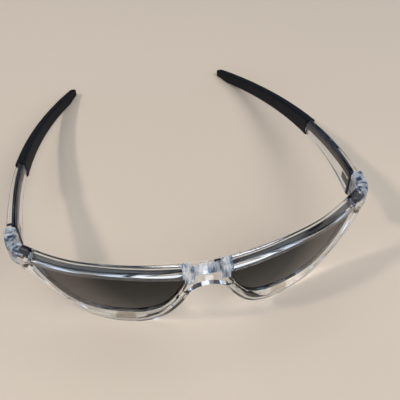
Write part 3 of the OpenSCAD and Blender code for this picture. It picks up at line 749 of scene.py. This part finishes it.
def make_sleeve(name, side):
    """From the bottom of its bore out to its mouth, and back along the outside to the rounded tip."""
    start, last = SLEEVE_Y + FIT, TIP_Y - TIP_ROUND
    rings = [arm_ring(y, CORE_SHRINK + FIT, CORE_ROUND + FIT, side)
             for y in between(CORE_Y + FIT, start, CORE_RINGS)]
    rings += [arm_ring(y, SLEEVE_PROUD, SLEEVE_ROUND, side) for y in between(start, last, SLEEVE_RINGS)]
    for a in (15, 30, 45, 60, 75, 90):
        y = last + TIP_ROUND * math.sin(math.radians(a))
        shrink = TIP_ROUND * (1 - math.cos(math.radians(a)))
        inwards, drop = side * (arm_out(y) - arm_out(last)), arm_top(y) - arm_top(last)
        ring = arm_ring(last, SLEEVE_PROUD - shrink * TIP_SHRINK, SLEEVE_ROUND - shrink * TIP_SHARPEN, side)
        rings.append([(x + inwards, y, max(z + drop, 0) + shrink * TIP_LIFT) for x, _, z in ring])
    sleeve = loft(name + "_rubber_sleeve", rings)
    finish_piece(sleeve, name + "_temple", "black_rubber", RUBBER, name + "_sleeve")


def dress_packed_nodes(name):
    """The metal and the strip stay as they are packed, and get their finish."""
    for kind in ("lug_dowels", "lug_hinge", "lug_rivets", "hinge_screw",
                 "arm_hinge", "arm_rivets", "arm_strip"):
        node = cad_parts[name + "_" + kind]
        node.data.materials.clear()
        node.data.materials.append(STRIP if kind == "arm_strip" else STEEL)


make_front()
for name, side in SIDES:
    make_lens(name, side)
    make_pad(name, side)
    make_lug(name, side)
    make_arm(name, side)
    make_sleeve(name, side)
    dress_packed_nodes(name)


# Floor, surroundings, light and camera

FLOOR_SIZE = 6
WHITE, WINDOW_WHITE, SIDE_BLUE = (0.95, 1.0, 1.05), (0.62, 0.71, 0.84), (0.85, 1.1, 1.5)
DUSK, NIGHT, DEEP_BLUE = (0.02, 0.025, 0.035), (0.012, 0.016, 0.03), (0.02, 0.03, 0.06)
LOW_WARM = (0.2, 0.18, 0.16)

# The camera as fitted to the picture: its turns in radians, its focal length in pixels of a picture 400 wide
# and its place in millimetres from the front of the brow
YAW, PITCH, ROLL = -0.188, 0.806, -0.025
FOCAL_LENGTH, PICTURE_WIDTH, SENSOR_WIDTH = 618.84, 400, 36
CAMERA_PLACE = (-27.22, -129.79, 211.07)


def make_stage():
    bpy.ops.mesh.primitive_plane_add(size=FLOOR_SIZE)
    floor = bpy.context.object
    floor.name = "floor"
    floor.data.materials.append(pale_floor())


def area_light(name, place, size, power, colour):
    """A round soft light that shines at the origin."""
    light = bpy.data.lights.new(name, "AREA")
    light.shape, light.size, light.energy, light.color = "DISK", size, power, colour
    obj = add_object(name, light)
    obj.location = place
    obj.rotation_euler = (-Vector(place)).to_track_quat("-Z", "Y").to_euler()


def make_world():
    """Dark surroundings with a white ring high up, pale low sides, a window behind and a glow in front.

    Each ramp goes by the height of a direction, from 0 on the horizon to 1 straight up.
    """
    world = bpy.data.worlds.new("studio")
    bpy.context.scene.world = world
    world.use_nodes = True
    tree = world.node_tree
    across, depth, height = parts_of(tree, "Generated")
    aside = calculated(tree, "ABSOLUTE", across)
    high_ring = ((0.735, NIGHT), (0.755, WHITE), (0.88, WHITE), (0.93, DEEP_BLUE))
    ring = ramp(tree, height, (
        (0.0, LOW_WARM), (0.1, (0.03, 0.03, 0.035)), (0.3, DUSK), *high_ring, (1.0, (0.03, 0.04, 0.06))))
    sides = ramp(tree, height, (
        (0.0, (0.4, 0.42, 0.45)), (0.1, SIDE_BLUE), (0.22, SIDE_BLUE), (0.28, DUSK), *high_ring))
    window = ramp(tree, height, (
        (0.0, LOW_WARM), (0.3, (0.25, 0.28, 0.34)),
        (0.36, WINDOW_WHITE), (0.63, WINDOW_WHITE), (0.67, NIGHT)))
    glow = ramp(tree, height, (
        (0.0, (0.5, 0.5, 0.5)), (0.35, (0.75, 0.85, 1.0)),
        (0.62, (0.3, 0.36, 0.45)), (0.75, (0.03, 0.035, 0.05))))
    colour = mixed(tree, fade(tree, aside, 0.35, 0.5), ring, sides)
    opening = calculated(tree, "MULTIPLY", fade(tree, depth, 0.72, 0.78), fade(tree, aside, 0.22, 0.17))
    colour = mixed(tree, opening, colour, window)
    colour = mixed(tree, fade(tree, depth, -0.25, -0.75), colour, glow)
    feed(tree, tree.nodes["Background"], {"Color": colour, "Strength": 1.0})


def make_camera():
    ahead = Vector((-math.sin(YAW) * math.cos(PITCH), math.cos(YAW) * math.cos(PITCH), -math.sin(PITCH)))
    right = Vector((math.cos(YAW), math.sin(YAW), 0))
    up = right.cross(ahead)
    x_axis = math.cos(ROLL) * right + math.sin(ROLL) * up
    y_axis = -math.sin(ROLL) * right + math.cos(ROLL) * up
    camera = bpy.data.cameras.new("camera")
    camera.sensor_width, camera.lens = SENSOR_WIDTH, FOCAL_LENGTH * SENSOR_WIDTH / PICTURE_WIDTH
    camera.clip_start, camera.clip_end = 0.01, 20
    obj = add_object("camera", camera)
    turn = Matrix((x_axis, y_axis, -ahead)).transposed().to_4x4()
    obj.matrix_world = Matrix.Translation(Vector(placed([CAMERA_PLACE])[0])) @ turn
    bpy.context.scene.camera = obj


make_stage()
make_world()
area_light("key", (-0.9, -0.1, 1.0), size=0.14, power=5, colour=(1, 0.97, 0.93))
area_light("fill", (0.5, -0.9, 1.2), size=1.2, power=13, colour=(0.93, 0.96, 1))
make_camera()

bpy.context.scene.view_settings.view_transform = "Standard"
